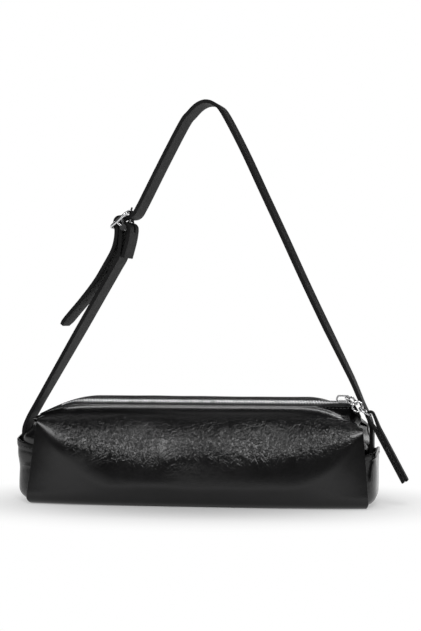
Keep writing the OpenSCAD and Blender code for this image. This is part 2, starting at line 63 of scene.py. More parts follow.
# The rest differ between the left end and the right one.
INSET = (12.8, 3.8)        # how far the end seam stands in from END_X at the base
LEAN = (9.2, 5.0)          # how far the seam leans in up to the pinched corner
TIP = (71.0, 65.0)         # height of the pinched corners
ZIP_RUN = (104.0, 130.0)   # where the zip's level run ends and the roof begins to fall
FOOT = (3.2, 2.6)          # how far the seam is drawn in at the very base


def clamp(value, low=0.0, high=1.0):
    return min(high, max(low, value))


def mix(a, b, t):
    return a + (b - a) * t


def ease(low, high, value):
    t = clamp((value - low) / (high - low))
    return t * t * (3 - 2 * t)


def side_of(s):
    return 0 if s < 0 else 1


def seam_x(side, z):
    return END_X - INSET[side] - LEAN[side] * z / TIP[side] - FOOT[side] * clamp((6 - z) / 6) ** 2


def pinch(s):
    return clamp((abs(s) - 0.66) / 0.34) ** 2


def past_zip(s):
    run = ZIP_RUN[side_of(s)]
    return clamp((abs(s) * ROOF_END - run) / (ROOF_END - run))


def roof_fall(s):
    return 13 * past_zip(s) ** 1.3


def belly(s):
    """How far the lower edge of the puffed front has risen towards a pinched corner, from 0 to 1."""
    start, power = ((0.45, 1.9), (0.5, 2.5))[side_of(s)]
    return clamp((abs(s) - start) / (1 - start)) ** power


def half_section(s, front):
    """Half the section from the zip's edge to the middle of the base, as (distance out, height)."""
    e, fall = pinch(s), roof_fall(s)
    # Height at the zip's edge and at the crest, and the wall's distance out, above and at its foot
    edge, crest, wall, foot = (81.6, 81.6, 46.2, 44.8) if front else (85.16, 88.0, 45.0, 43.0)
    # Breadth and height of the rounded shoulder, which shrinks towards the pinched corners
    ry, rz = (mix(38, 3, e), mix(66, 3, belly(s))) if front else (mix(22, 3, e), mix(22, 3, e))
    top, gap = mix(crest, TIP[side_of(s)], e), mix(16, 10, past_zip(s)) / 2
    yt, yb = mix(wall, CORNER_OUT, e), mix(foot, 41, e)
    line = [(gap, edge - fall), (mix(gap, yt - ry, 0.5), mix(edge - fall, top, 0.6))]
    for k in range(19):
        a = math.radians(5 * k)
        line.append((yt - ry + ry * math.sin(a), top - rz + rz * math.cos(a)))
    line += [(mix(yt, yb, k / 10), mix(top - rz, BASE_ROUND, k / 10)) for k in range(1, 11)]
    for k in range(1, 9):
        a = math.radians(90 * k / 8)
        line.append((yb - BASE_ROUND + BASE_ROUND * math.cos(a), BASE_ROUND - BASE_ROUND * math.sin(a)))
    return line + [(0, 0)]


def spread(line, count):
    """The points that split a line of points into count equal lengths."""
    line = np.array(line, float)
    run = np.concatenate([[0], np.cumsum(np.linalg.norm(np.diff(line, axis=0), axis=1))])
    at = np.linspace(0, run[-1], count + 1)
    return np.stack([np.interp(at, run, line[:, k]) for k in range(line.shape[1])], axis=1)


def lengthwise(s, y, z):
    """Where a point of the section lies along the bag. The corners lean in with their height."""
    side = side_of(s)
    t = ease(0, 1, (CORNER_OUT - abs(y)) / 20)
    top = clamp((z - mix(TIP[side], 45, 0.6)) / 8)
    return s * mix(seam_x(side, min(z, TIP[side])), ROOF_END, t * top)


# Lower edge of the puffed dome on the front and the back, as places along the bag and heights
CREASE = ((-128, 70), (-124, 64), (-108, 45), (-86, 31), (-65, 26), (-32, 22), (-3, 22), (38, 25),
          (79, 29), (109, 34), (125, 41), (136, 51), (144, 62))
# Swellings of the dome: place, height, half length, half height and how far they stand out
SWELLS = ((-93, 51, 26, 15, 1.4), (19, 55, 28, 15, 1.3), (111, 62, 20, 12, 0.8), (-34, 55, 15, 18, -0.9),
          (63, 56, 17, 16, -0.9), (-3, 40, 24, 7, 0.5), (83, 44, 22, 7, 0.4))


def crease_distance(x, z):
    """How far a point lies above the dome's lower edge, and below it as less than nothing."""
    best, sign = 1e9, 1
    for (xa, za), (xb, zb) in zip(CREASE, CREASE[1:]):
        t = clamp(((x - xa) * (xb - xa) + (z - za) * (zb - za)) / ((xb - xa) ** 2 + (zb - za) ** 2))
        dx, dz = x - mix(xa, xb, t), z - mix(za, zb, t)
        d = math.hypot(dx, dz)
        if d < best:
            best = d
            sign = 1 if (xb - xa) * dz - (zb - za) * dx > 0 else -1
    return best * sign


def crinkle_share(x, z, front):
    """How strongly the glaze is crinkled at a place: most on the swellings, hardly at all under the dome."""
    d = crease_distance(x, z)
    zone = ease(0, 15, d) * ease(78, 69, z)
    patches = sum(math.exp(-((x - px) / 34) ** 2 - ((z - pz) / 15) ** 2)
                  for px, pz in ((-93, 48), (19, 52), (111, 61)))
    drift = 0.5 + 0.9 * noise.noise(Vector((x / 24, 3.1 if front else 9.4, z / 13)))
    return clamp(zone * (0.3 + 0.7 * patches + 0.35 * drift))


def strokes(x, z, turn, across, along, seed):
    """Short folds that lie along one slanting way, from 0 to 1 on their ridges."""
    u = x * math.cos(turn) + z * math.sin(turn)
    v = z * math.cos(turn) - x * math.sin(turn)
    bend = 0.35 * noise.noise(Vector((x / 15, seed + 4, z / 15)))
    ridge = 1 - abs(noise.noise(Vector((u / across + bend, seed, v / along)))) * 2.6
    return clamp(ridge) ** 2


STITCH_LINE = 2.7          # distance of the stitches from the zip's edge


def relief(x, y, z, edge_run, share):
    """How far the leather stands out from its plain section, in millimetres: the turned edge with the
    groove of its stitches, the swellings, slow waves and short folds."""
    front = y < 0
    out = 0.45 * ease(4.6, 3.4, edge_run) - 0.3 * math.exp(-((edge_run - STITCH_LINE) / 0.55) ** 2)
    held = ease(5, 16, edge_run) * ease(9, 20, z) * ease(1.0, 0.9, abs(x) / 142)
    for sx, sz, lx, lz, rise in SWELLS:
        sx = sx if front else -0.8 * sx + 6
        out += rise * held * math.exp(-((x - sx) / lx) ** 2 - ((z - sz) / lz) ** 2)
    out += 0.4 * held * noise.noise(Vector((x / 30, y / 60 + (0 if front else 5), z / 30)))
    seed = 2.0 if front else 8.0
    folds = 0.5 * strokes(x, z, 0.55, 6, 19, seed) + 0.45 * strokes(x, z, -0.5, 5, 15, seed + 1.5)
    return out + 0.5 * held * share * folds


def apply_modifier(piece, kind, **settings):
    """Adds one modifier to a piece and applies it."""
    bpy.ops.object.select_all(action="DESELECT")
    piece.select_set(True)
    bpy.context.view_layer.objects.active = piece
    step = piece.modifiers.new(kind, kind)
    for name, value in settings.items():
        setattr(step, name, value)
    bpy.ops.object.modifier_apply(modifier=step.name)


def smooth(piece, degrees=40):
    """Shades a piece smooth but for edges sharper than an angle."""
    bpy.ops.object.select_all(action="DESELECT")
    piece.select_set(True)
    bpy.context.view_layer.objects.active = piece
    bpy.ops.object.shade_smooth_by_angle(angle=math.radians(degrees))


def lay_sheet(name, places, outward, thick=0.0, offset=-1.0, bevel=0.0, segments=2, paint=None, rim=0):
    """A sheet of leather or cloth: a flat grid whose corners are laid at places[row][column], in
    millimetres, then given its thickness and rounded rims. Its middle faces outward."""
    places = np.array(places, float) * MM
    rows, columns = places.shape[:2]
    bpy.ops.object.select_all(action="DESELECT")
    bpy.ops.mesh.primitive_grid_add(x_subdivisions=columns - 1, y_subdivisions=rows - 1, size=2)
    piece = bpy.context.object
    piece.name = piece.data.name = name
    flat = np.array([v.co for v in piece.data.vertices])
    column = np.rint((flat[:, 0] + 1) / 2 * (columns - 1)).astype(int)
    row = np.rint((flat[:, 1] + 1) / 2 * (rows - 1)).astype(int)
    piece.data.vertices.foreach_set("co", places[row, column].ravel())
    if paint is not None:
        layer = piece.data.attributes.new("crinkle", "FLOAT", "POINT")
        layer.data.foreach_set("value", np.array(paint, float)[row, column].ravel())
    piece.data.update()
    middle = piece.data.polygons[(rows - 1) // 2 * (columns - 1) + (columns - 1) // 2]
    if middle.normal.dot(Vector(outward)) < 0:
        bpy.ops.object.mode_set(mode="EDIT")
        bpy.ops.mesh.select_all(action="SELECT")
        bpy.ops.mesh.flip_normals()
        bpy.ops.object.mode_set(mode="OBJECT")
    if thick:
        apply_modifier(piece, "SOLIDIFY", thickness=thick * MM, offset=offset, use_even_offset=True,
                       thickness_clamp=0.0, material_offset_rim=rim)
    if bevel:
        apply_modifier(piece, "BEVEL", width=bevel * MM, segments=segments, limit_method="ANGLE",
                       angle_limit=math.radians(60), offset_type="OFFSET", harden_normals=False,
                       use_clamp_overlap=True)
    smooth(piece)
    return piece


def normals_of(places):
    """The normals of a grid of places, by differences between neighbours."""
    du = np.gradient(places, axis=0)
    dv = np.gradient(places, axis=1)
    n = np.cross(du, dv)
    return n / np.maximum(np.linalg.norm(n, axis=2, keepdims=True), 1e-9)


shares = [0.55 * w + 0.45 * math.sin(math.pi / 2 * w) for w in np.linspace(-1, 1, 231)]
FRONT_CELLS, BACK_CELLS = 92, 66
wrap_places = np.zeros((len(shares), FRONT_CELLS + BACK_CELLS + 1, 3))
edge_runs = np.zeros(wrap_places.shape[:2])
for i, s in enumerate(shares):
    front = spread(half_section(s, True), FRONT_CELLS)
    back = spread(half_section(s, False), BACK_CELLS)
    for line in (front, back):
        for _ in range(2):
            line[2:-2] = (line[1:-3] + 2 * line[2:-2] + line[3:-1]) / 4
    run_f = np.linalg.norm(np.diff(front, axis=0), axis=1).sum()
    run_b = np.linalg.norm(np.diff(back, axis=0), axis=1).sum()
    for j, (y, z) in enumerate(front):
        wrap_places[i, j] = (lengthwise(s, y, z), -y, z)
        edge_runs[i, j] = run_f * j / FRONT_CELLS
    for j, (y, z) in enumerate(back[:-1]):
        k = FRONT_CELLS + BACK_CELLS - j
        wrap_places[i, k] = (lengthwise(s, y, z), y, z)
        edge_runs[i, k] = run_b * j / BACK_CELLS
wrap_normals = -normals_of(wrap_places)
if wrap_normals[115, 30, 1] > 0:
    wrap_normals = -wrap_normals
crinkles = np.zeros(edge_runs.shape)
lifts = np.zeros(edge_runs.shape)
for i in range(edge_runs.shape[0]):
    for j in range(edge_runs.shape[1]):
        x, y, z = wrap_places[i, j]
        if z > 4:
            crinkles[i, j] = crinkle_share(x, z, y < 0)
            lifts[i, j] = relief(x, y, z, edge_runs[i, j], crinkles[i, j])
wrap_places += wrap_normals * lifts[:, :, None]


class Wire:
    """One output of a material's nodes. Sums on it add Math nodes."""

    def __init__(self, finish, socket):
        self.finish, self.socket = finish, socket

    def sum(self, operation, *values):
        return self.finish.node("Math", {"operation": operation}, 0, *values)

    def __add__(self, other): return self.sum("ADD", self, other)
    def __radd__(self, other): return self.sum("ADD", other, self)
    def __sub__(self, other): return self.sum("SUBTRACT", self, other)
    def __rsub__(self, other): return self.sum("SUBTRACT", other, self)
    def __mul__(self, other): return self.sum("MULTIPLY", self, other)
    def __rmul__(self, other): return self.sum("MULTIPLY", other, self)
    def __abs__(self): return self.sum("ABSOLUTE", self)


class Finish:
    """A material and its nodes. Inputs are given in order or by name."""

    def __init__(self, name, **constants):
        self.material = bpy.data.materials.new(name)
        self.material.use_nodes = True
        self.tree = self.material.node_tree
        self.shader = self.tree.nodes["Principled BSDF"]
        for key, value in constants.items():
            self.shader.inputs[key.replace("_", " ")].default_value = value

    def feed(self, socket, value):
        if isinstance(value, Wire):
            self.tree.links.new(value.socket, socket)
        else:
            socket.default_value = value

    def node(self, kind, settings=None, out=0, *values, **named):
        node = self.tree.nodes.new("ShaderNode" + kind)
        for key, value in (settings or {}).items():
            setattr(node, key, value)
        for socket, value in zip(node.inputs, values):
            self.feed(socket, value)
        for key, value in named.items():
            self.feed(node.inputs[key.replace("_", " ")], value)
        return Wire(self, node.outputs[out])

    def between(self, factor, a, b):
        """A colour between two colours."""
        node = self.tree.nodes.new("ShaderNodeMix")
        node.data_type = "RGBA"
        for k, value in ((0, factor), (6, a), (7, b)):
            self.feed(node.inputs[k], value)
        return Wire(self, node.outputs[2])

    def step(self, value, low, high, to_low=0.0, to_high=1.0):
        """Runs softly from one number to another as a value runs from low to high."""
        return self.node("MapRange", {"interpolation_type": "SMOOTHSTEP"}, 0, value, low, high, to_low, to_high)

    def vector(self, operation, a, b):
        return self.node("VectorMath", {"operation": operation}, 0, a, b)

    def set(self, **inputs):
        for key, value in inputs.items():
            self.feed(self.shader.inputs[key.replace("_", " ")], value)
        return self.material

    def bump(self, height, distance, strength=1.0):
        return self.node("Bump", None, 0, Strength=strength, Distance=distance, Height=height)


def soft_leather(name):
    """Glazed black leather: pores, fine slanting cracks where the crinkle layer is strong, and a gloss
    that varies in patches."""
    f = Finish(name, IOR=1.45, Specular_IOR_Level=0.5)
    at = f.node("TexCoord", None, "Object")
    share = f.node("Attribute", {"attribute_name": "crinkle"}, "Fac")
    sway = f.node("TexNoise", None, "Color", Vector=at, Scale=60.0, Detail=3.0)
    bent = f.vector("SUBTRACT", sway, (0.5, 0.5, 0.5))
    bent = f.vector("ADD", at, f.vector("MULTIPLY", bent, (0.012, 0.012, 0.012)))

    def cracks(turn, scale, width):
        way = f.node("Mapping", {"vector_type": "TEXTURE"}, 0, Vector=bent, Rotation=(0.0, turn, 0.0),
                     Scale=(1.0, 1.0, 2.6))
        lines = f.node("TexNoise", None, "Fac", Vector=way, Scale=scale, Detail=1.0, Roughness=0.5)
        return f.step(abs(lines - 0.5), 0.0, width)

    grain = f.node("TexVoronoi", None, "Distance", Vector=at, Scale=1500.0)
    rough = f.node("TexNoise", None, "Fac", Vector=bent, Scale=240.0, Detail=2.0, Roughness=0.5)
    patch = f.node("TexNoise", None, "Fac", Vector=at, Scale=38.0, Detail=3.0)
    deep = cracks(0.6, 210.0, 0.07)
    veins = deep * 0.2 + cracks(-0.55, 300.0, 0.08) * 0.15 + cracks(0.1, 480.0, 0.1) * 0.08
    height = share * (veins * 0.75 + rough * 0.12) + rough * 0.035 + grain * 0.008
    colour = f.between(f.step(patch, 0.3, 0.7), (0.003, 0.0029, 0.0031, 1), (0.0048, 0.0046, 0.0049, 1))
    # Along the cracks the colour is painted darker: painted shade in their hollows.
    colour = f.between(deep * 0.8 + 0.2, (0.002, 0.002, 0.0021, 1), colour)
    return f.set(Base_Color=colour, Roughness=0.23 - share * 0.01 + (patch - 0.5) * 0.1,
                 Normal=f.bump(height, 0.0011, 1.0))


wrap_finish = soft_leather("glazed_black_leather")
wrap = lay_sheet("outer_leather", wrap_places, (0, 0, -1), LEATHER, -1.0, 0.95, 3, crinkles)
wrap.data.materials.append(wrap_finish)
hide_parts("body_wrap")
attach(wrap, "bag")

# Stitches along the folded edges beside the zip: black waxed thread, one row on each side,
# sunk a little into the leather with a small gap between stitches.
def thread_finish(name, colour):
    f = Finish(name, Specular_IOR_Level=0.5)
    at = f.node("TexCoord", None, "Object")
    twist = f.node("TexWave", {"wave_type": "BANDS", "bands_direction": "DIAGONAL"}, "Fac",
                   Vector=at, Scale=900.0)
    # The twist's grooves are painted darker than its plies: painted shade.
    return f.set(Base_Color=f.between(twist, (*[c * 0.7 for c in colour], 1), (*colour, 1)),
                 Roughness=twist * 0.15 + 0.38, Normal=f.bump(twist, 0.00008, 0.8))


black_thread = thread_finish("black_thread", (0.05, 0.05, 0.052))


def sew(name, line, faces, pitch, body, slot, length=0.72, width=0.34, finish=black_thread):
    """A row of stitches along a line of points, with the direction that the leather faces at each.
    length is a stitch's share of the pitch, and width half its thickness."""
    line, faces = np.array(line, float), np.array(faces, float)
    run = np.concatenate([[0], np.cumsum(np.linalg.norm(np.diff(line, axis=0), axis=1))])
    count = max(1, int(run[-1] // pitch))
    ahead = 0.3

    def place_at(d):
        return np.array([np.interp(d, run, line[:, c]) for c in range(3)])

    bpy.ops.object.select_all(action="DESELECT")
    bpy.ops.mesh.primitive_uv_sphere_add(segments=8, ring_count=4, radius=1)
    first = bpy.context.object
    shape = first.data
    copies = []
    for k in range(count):
        d = (k + 0.5) * run[-1] / count
        start = d - ahead if k == count - 1 else d
        along = Vector(place_at(start + ahead) - place_at(start)).normalized()
        up = Vector([np.interp(d, run, faces[:, c]) for c in range(3)]).normalized()
        side = up.cross(along).normalized()
        up = along.cross(side)
        turn = Matrix((along, side, up)).transposed().to_4x4()
        size = Matrix.Diagonal((pitch * length / 2, width, width * 0.8, 1))
        copy = first if k == 0 else bpy.data.objects.new(name, shape.copy())
        if k:
            bpy.context.scene.collection.objects.link(copy)
        copies.append((copy, Matrix.Translation(Vector(place_at(d))) @ turn @ size))
    for copy, place in copies:
        copy.data.transform(Matrix.Scale(MM, 4) @ place)
        copy.select_set(True)
    bpy.context.view_layer.objects.active = first
    if len(copies) > 1:
        bpy.ops.object.join()
    first.name = first.data.name = name
    smooth(first, 60)
    first.data.materials.append(finish)
    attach(first, body)
    return first


def wrap_line(distance, front, low, high):
    """A line on the wrap at a distance from the zip's edge, and the way the leather faces there."""
    line, faces = [], []
    last = FRONT_CELLS + BACK_CELLS
    columns = list(range(0, 20) if front else range(last, last - 20, -1))
    for i, s in enumerate(shares):
        if low <= s <= high:
            runs = [edge_runs[i, j] for j in columns]
            for layer, found in ((wrap_places, line), (wrap_normals, faces)):
                found.append([np.interp(distance, runs, [layer[i, j, c] for j in columns]) for c in range(3)])
    return line, faces


STITCH_PITCH = 3.1
sew("front_zip_stitches", *wrap_line(STITCH_LINE, True, -0.965, 0.975), STITCH_PITCH, "bag", "black_leather")
sew("back_zip_stitches", *wrap_line(STITCH_LINE, False, -0.965, 0.975), STITCH_PITCH, "bag", "black_leather")

# End panels: a piece of the same leather at each end, sewn inside the wrap's end seams, rounded to the
# base, with a turned and stitched hem at its top that the strap comes up behind.
def end_half(side, z):
    """Half the width inside the wrap's end at a height."""
    rim = LEATHER + 0.15
    if z < BASE_ROUND:
        return 41 - BASE_ROUND + math.sqrt(max(0, (BASE_ROUND - rim) ** 2 - (BASE_ROUND - z) ** 2))
    return mix(41, CORNER_OUT, clamp((z - BASE_ROUND) / (TIP[side] - 11))) - rim


PANEL_END = (150.9, 153.2)             # how far out the middle of each panel stands
HEM = ((57.0, 48.5), (48.0, 43.5))     # height of each hem in its middle and at its ends
HEM_STITCHES = 3.8                     # distance of the stitches below the hem's top


def panel_x(side, y, z):
    """How far out a panel stands. Its middle is flat, and its rim and foot curve in behind the seam."""
    start = mix(0.36, 0.55, ease(28, 42, z))
    across = clamp((abs(y) / end_half(side, z) - start) / (1 - start)) ** 2.2
    foot = 1 - math.sqrt(1 - clamp((12 - z) / 11) ** 2)
    return mix(PANEL_END[side], seam_x(side, z) - 4.0, 1 - (1 - across) * (1 - 0.95 * foot))


def hem_height(side, share):
    """Height of the hem, at a share of the way from its middle to its ends."""
    return mix(*HEM[side], abs(share) ** 1.7)


# Middle of the strap's thickness at its sewn ends, and the first places of its two legs
STRAP_X = 147.5
RIGHT_LEG = ((147.5, 52), (147.5, 59), (147.2, 65), (144.8, 73), (140.4, 82), (132.4, 101), (124, 118.4))
LEFT_LEG = ((-147.5, 52), (-147.5, 59), (-146.4, 64), (-143.4, 71), (-138.6, 79.5), (-131, 92.6),
            (-113.4, 122.7))
SWING_HEIGHT, SWING = 45, 30           # height and reach in degrees of the strap's swing


def tab_x(side, y, z):
    """How far out the tab may stand under the swinging strap."""
    up = z - SWING_HEIGHT
    r, phi = math.hypot(y, up), math.degrees(math.atan2(y, up))
    past = math.radians(phi - clamp(phi, -SWING, SWING))
    run, off = r * math.cos(past), r * abs(math.sin(past))
    leg = RIGHT_LEG if side else LEFT_LEG
    under = np.interp(SWING_HEIGHT + max(run, 0), [p[1] for p in leg], [abs(p[0]) for p in leg]) - 1.5 - 0.6
    under = min(145.7, under) - 0.018 * max(0, z - 60) ** 2
    free = clamp((off - 14) / 7)
    rim = clamp((abs(y) / end_half(side, z) - 0.62) / 0.38) ** 2
    sunk = mix(5.2, 1.4, ease(-2, 5, z - hem_height(side, clamp(y / end_half(side, z), -1, 1))))
    roof = mix(seam_x(side, TIP[side]), ROOF_END, ease(0, 1, (CORNER_OUT - abs(y)) / 20)) - 0.8
    out = mix(mix(under, 145.7, free), seam_x(side, z) - sunk, rim)
    return mix(out, min(out, roof), ease(TIP[side] - 16, TIP[side] - 2, z))


end_finish = soft_leather("end_black_leather")
for side, way, word in ((0, -1, "left"), (1, 1, "right")):
    rows, columns = 46, 61
    places = np.zeros((rows, columns, 3))
    paint = np.zeros((rows, columns))
    at_rows = []
    for j in range(columns):
        share = -1 + 2 * j / (columns - 1)
        share = math.copysign(abs(share) ** 0.85, share)
        for i in range(rows):
            z = mix(2.15, hem_height(side, share), i / (rows - 1))
            y = share * end_half(side, z)
            below = hem_height(side, share) - z
            out = 0.75 * ease(6.2, 5.2, below) * ease(1.0, 0.9, abs(share))
            out -= 0.3 * math.exp(-((below - HEM_STITCHES) / 0.5) ** 2)
            wave = noise.noise(Vector((y / 16, z / 18, 4.0 + way)))
            out += 0.5 * wave * ease(1.0, 0.8, abs(share)) * ease(2, 12, z)
            places[i, j] = (way * (panel_x(side, y, z) + min(out, 0.9) - 0.9), y, z)
            paint[i, j] = 0.3 * ease(1.0, 0.6, abs(share))
        at_rows.append(int(np.argmin(abs(places[:, j, 2] - hem_height(side, share) + HEM_STITCHES))))
    panel = lay_sheet(word + "_panel_leather", places, (way, 0, 0), 1.8, -1.0, 0.75, 3, paint)
    panel.data.materials.append(end_finish)
    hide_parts(word + "_end_panel")
    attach(panel, "bag")
    face = normals_of(places)
    if face[rows // 2, columns // 2, 0] * way < 0:
        face = -face
    sewn = range(2, columns - 2)
    sew(word + "_hem_stitches", [places[at_rows[j], j] for j in sewn], [face[at_rows[j], j] for j in sewn],
        STITCH_PITCH, "bag", "black_leather")

# Tabs: a plain piece of leather behind each hem that rises to the end of the zip and closes the bag's
# end. The strap's round end is sewn between the tab and the end panel.
for side, way, word in ((0, -1, "left"), (1, 1, "right")):
    rows, columns = 31, 45
    places = np.zeros((rows, columns, 3))
    for i in range(rows):
        for j in range(columns):
            share = -1 + 2 * j / (columns - 1)
            z = mix(30, mix(68.4, TIP[side] - 3.2, abs(share)), i / (rows - 1))
            y = share * (end_half(side, z) - 0.15)
            places[i, j] = (way * tab_x(side, y, z), y, z)
    paint = np.full((rows, columns), 0.3)
    tab = lay_sheet(word + "_tab_leather", places, (way, 0, 0), 1.6, -1.0, 0.4, 2, paint)
    tab.data.materials.append(end_finish)
    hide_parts(word + "_end_tab")
    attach(tab, "bag")

# Zip: two black woven tapes sewn under the folded edges, silver teeth, stops and a cast slider. The
# slider and top stops are the solids themselves. The teeth and end stop are copies that lean forwards
# with the tapes and follow the roof's fall at the left end.
def cloth_finish(name, dark, light, warp, weft, sheen):
    """Plain weave that follows the piece's own UV map, painted darker in the hollows between threads and
    lighter on the raised threads: painted shade.
    """
    f = Finish(name, Specular_IOR_Level=0.3, Sheen_Weight=sheen)
    uv = f.node("TexCoord", None, "UV")
    u = f.node("SeparateXYZ", None, "X", uv) * (warp * 2 * math.pi)
    v = f.node("SeparateXYZ", None, "Y", uv) * (weft * 2 * math.pi)
    over = u.sum("SINE", u) * v.sum("SINE", v)
    fuzz = f.node("TexNoise", None, "Fac", Vector=f.node("TexCoord", None, "Object"), Scale=900.0, Detail=4.0)
    height = over * 0.5 + fuzz * 0.4
    # Colour follows the weave's height: painted shade in its hollows.
    return f.set(Base_Color=f.between(f.step(height, -0.4, 0.8), (*dark, 1), (*light, 1)),
                 Roughness=0.72 + fuzz * 0.2, Normal=f.bump(height, 0.0002, 0.7))


def bright_metal(name, colour, rough, scratch, metallic=1.0):
    """Polished plating with faint scratches and a little darker tarnish in broad patches."""
    f = Finish(name, Metallic=metallic)
    at = f.node("TexCoord", None, "Object")
    fine = f.node("TexNoise", None, "Fac", Vector=at, Scale=1600.0, Detail=4.0)
    broad = f.node("TexNoise", None, "Fac", Vector=at, Scale=160.0, Detail=3.0)
    lines = f.node("TexNoise", None, "Fac", Vector=f.node("Mapping", None, 0, Vector=at, Scale=(1.0, 9.0, 3.0)),
                   Scale=420.0, Detail=2.0)
    return f.set(Base_Color=f.between(f.step(broad, 0.35, 0.7), (*[c * 0.82 for c in colour], 1), (*colour, 1)),
                 Roughness=rough + (fine - 0.5) * 0.12 + (broad - 0.5) * 0.1,
                 Normal=f.bump(lines * 0.6 + fine * 0.4, 0.00004, scratch))


tape_finish = cloth_finish("woven_zip_tape", (0.009, 0.009, 0.0095), (0.026, 0.026, 0.027),
                           14.0, 420.0, 0.1)
silver_finish = bright_metal("silver_plating", (0.76, 0.76, 0.77), 0.2, 0.5)
tooth_finish = bright_metal("tooth_metal", (0.92, 0.92, 0.93), 0.28, 0.5, 0.35)
TAPE = 0.6                 # thickness
ZIP_HEIGHT = 83.6          # middle of the tapes and teeth


def zip_tilt(x):
    """How far the closed zip leans forwards, in radians. It is flat where the slider stops at either end."""
    return math.radians(20) * ease(118, 98, x) * ease(-112, -92, x)


def leaned(x, y, z, middle):
    """A place on the zip after the zip has leaned forwards about its middle line."""
    a, up = zip_tilt(x), z - middle
    return x, y * math.cos(a) - up * math.sin(a), middle + y * math.sin(a) + up * math.cos(a)


for way, word in ((-1, "front"), (1, "back")):
    places = np.zeros((len(shares), 13, 3))
    for i, s in enumerate(shares):
        z = ZIP_HEIGHT - roof_fall(s)
        line = half_section(s, way < 0)
        a, b = np.array(line[0]), np.array(line[1])
        v = (b - a) / np.linalg.norm(b - a)
        normal = np.array([-v[1], v[0]])
        if normal[1] < 0:
            normal = -normal
        under = a - (LEATHER + 0.6 + TAPE / 2) * normal
        flat = [leaned(s * ROOF_END, way * y, z, z)[1:] for y in (0.9, min(5.5, a[0] - 2))]
        corners = flat + [(way * p[0], p[1]) for p in (under - 0.5 * v, under + 3 * v)]
        for j, (y, h) in enumerate(spread(corners, 12)):
            places[i, j] = (s * ROOF_END, y, h)
    tape = lay_sheet(word + "_tape", places, (0, 0, 1), TAPE, 0.0)
    tape.data.materials.append(tape_finish)
    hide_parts(word + "_zip_tape")
    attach(tape, "bag")


def refinish(node, finish):
    """Gives a solid of the model its new finish."""
    mesh = nodes[node].data
    if not mesh.materials:
        mesh.materials.append(finish)
    for k in range(len(mesh.materials)):
        mesh.materials[k] = finish


for node in ("zip_top_stops", "zip_slider"):
    refinish(node, silver_finish)
for node, name in (("front_zip_teeth", "front_teeth"), ("back_zip_teeth", "back_teeth"),
                   ("zip_bottom_stop", "end_stop")):
    row = bpy.data.objects.new(name, nodes[node].data.copy())
    bpy.context.scene.collection.objects.link(row)
    bpy.ops.object.select_all(action="DESELECT")
    row.select_set(True)
    bpy.context.view_layer.objects.active = row
    bpy.ops.object.mode_set(mode="EDIT")
    bpy.ops.mesh.select_all(action="SELECT")
    bpy.ops.mesh.remove_doubles(threshold=1e-6)
    bpy.ops.object.mode_set(mode="OBJECT")
    for v in row.data.vertices:
        x, y, z = v.co / MM
        fall = roof_fall(x / ROOF_END) if x < 0 else 0
        v.co = Vector(leaned(x, y, z - fall, ZIP_HEIGHT - fall)) * MM
    row.data.materials.clear()
    row.data.materials.append(tooth_finish)
    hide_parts(node)
    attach(row, "bag")

# Puller chain: a long wire link and two round rings of the same plating that hang from the slider's
# crown over the bag's end. They are bent from wire and closed.
WIRE = 1.8                 # thickness


def towards(turn, slope):
    """A direction turned towards the front and sloping down, in degrees."""
    turn, slope = math.radians(turn), math.radians(slope)
    return Vector((math.cos(turn) * math.cos(slope), -math.sin(turn) * math.cos(slope), -math.sin(slope)))


LINK_LIES, RINGS_LIE = (76, 11), (8, 33)
link_dir, ring_dir = towards(*LINK_LIES), towards(*RINGS_LIE)
crown_foot = Vector((128.75, 0, 88.2))
link_half = ((26.6 - WIRE) / 2, 3.2)
small_r, large_r = (10.2 - WIRE) / 2, (12.6 - WIRE) / 2
link_mid = crown_foot + (link_half[0] - link_half[1]) * link_dir
small_mid = link_mid + (link_half[0] - WIRE - 0.15) * link_dir + (small_r - 0.15) * ring_dir
large_mid = small_mid + (small_r + large_r - WIRE - 0.3) * ring_dir
loop_at = large_mid + (large_r - 0.3) * ring_dir


def wire_ring(middle, turn, slope, radius, stretch=0.0, upright=False):
    """A ring of wire, opened into a link by moving its halves apart."""
    bpy.ops.object.select_all(action="DESELECT")
    bpy.ops.mesh.primitive_torus_add(major_radius=radius * MM, minor_radius=WIRE / 2 * MM,
                                     major_segments=48, minor_segments=14)
    ring = bpy.context.object
    if stretch:
        for way in (-1, 1):
            for v in ring.data.vertices:
                v.select = v.co.x * way > 1e-7
            for e in ring.data.edges:
                e.select = all(ring.data.vertices[k].select for k in e.vertices)
            for p in ring.data.polygons:
                p.select = all(ring.data.vertices[k].select for k in p.vertices)
            bpy.ops.object.mode_set(mode="EDIT")
            bpy.ops.mesh.select_mode(type="VERT")
            bpy.ops.transform.translate(value=(way * stretch * MM, 0, 0))
            bpy.ops.object.mode_set(mode="OBJECT")
    place = Matrix.Translation(middle * MM) @ Matrix.Rotation(math.radians(-turn), 4, "Z") \
        @ Matrix.Rotation(math.radians(slope), 4, "Y")
    if upright:
        place = place @ Matrix.Rotation(math.radians(90), 4, "X")
    ring.data.transform(place)
    return ring


rings = [wire_ring(link_mid, *LINK_LIES, link_half[1], link_half[0] - link_half[1]),
         wire_ring(small_mid, *RINGS_LIE, small_r, upright=True),
         wire_ring(large_mid, *RINGS_LIE, large_r)]
bpy.ops.object.select_all(action="DESELECT")
for ring in rings:
    ring.select_set(True)
bpy.context.view_layer.objects.active = rings[0]
bpy.ops.object.join()
chain = rings[0]
chain.name = chain.data.name = "puller_chain"
smooth(chain, 60)
chain.data.materials.append(silver_finish)
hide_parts("pull_chain")
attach(chain, "chain")
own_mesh(chain)

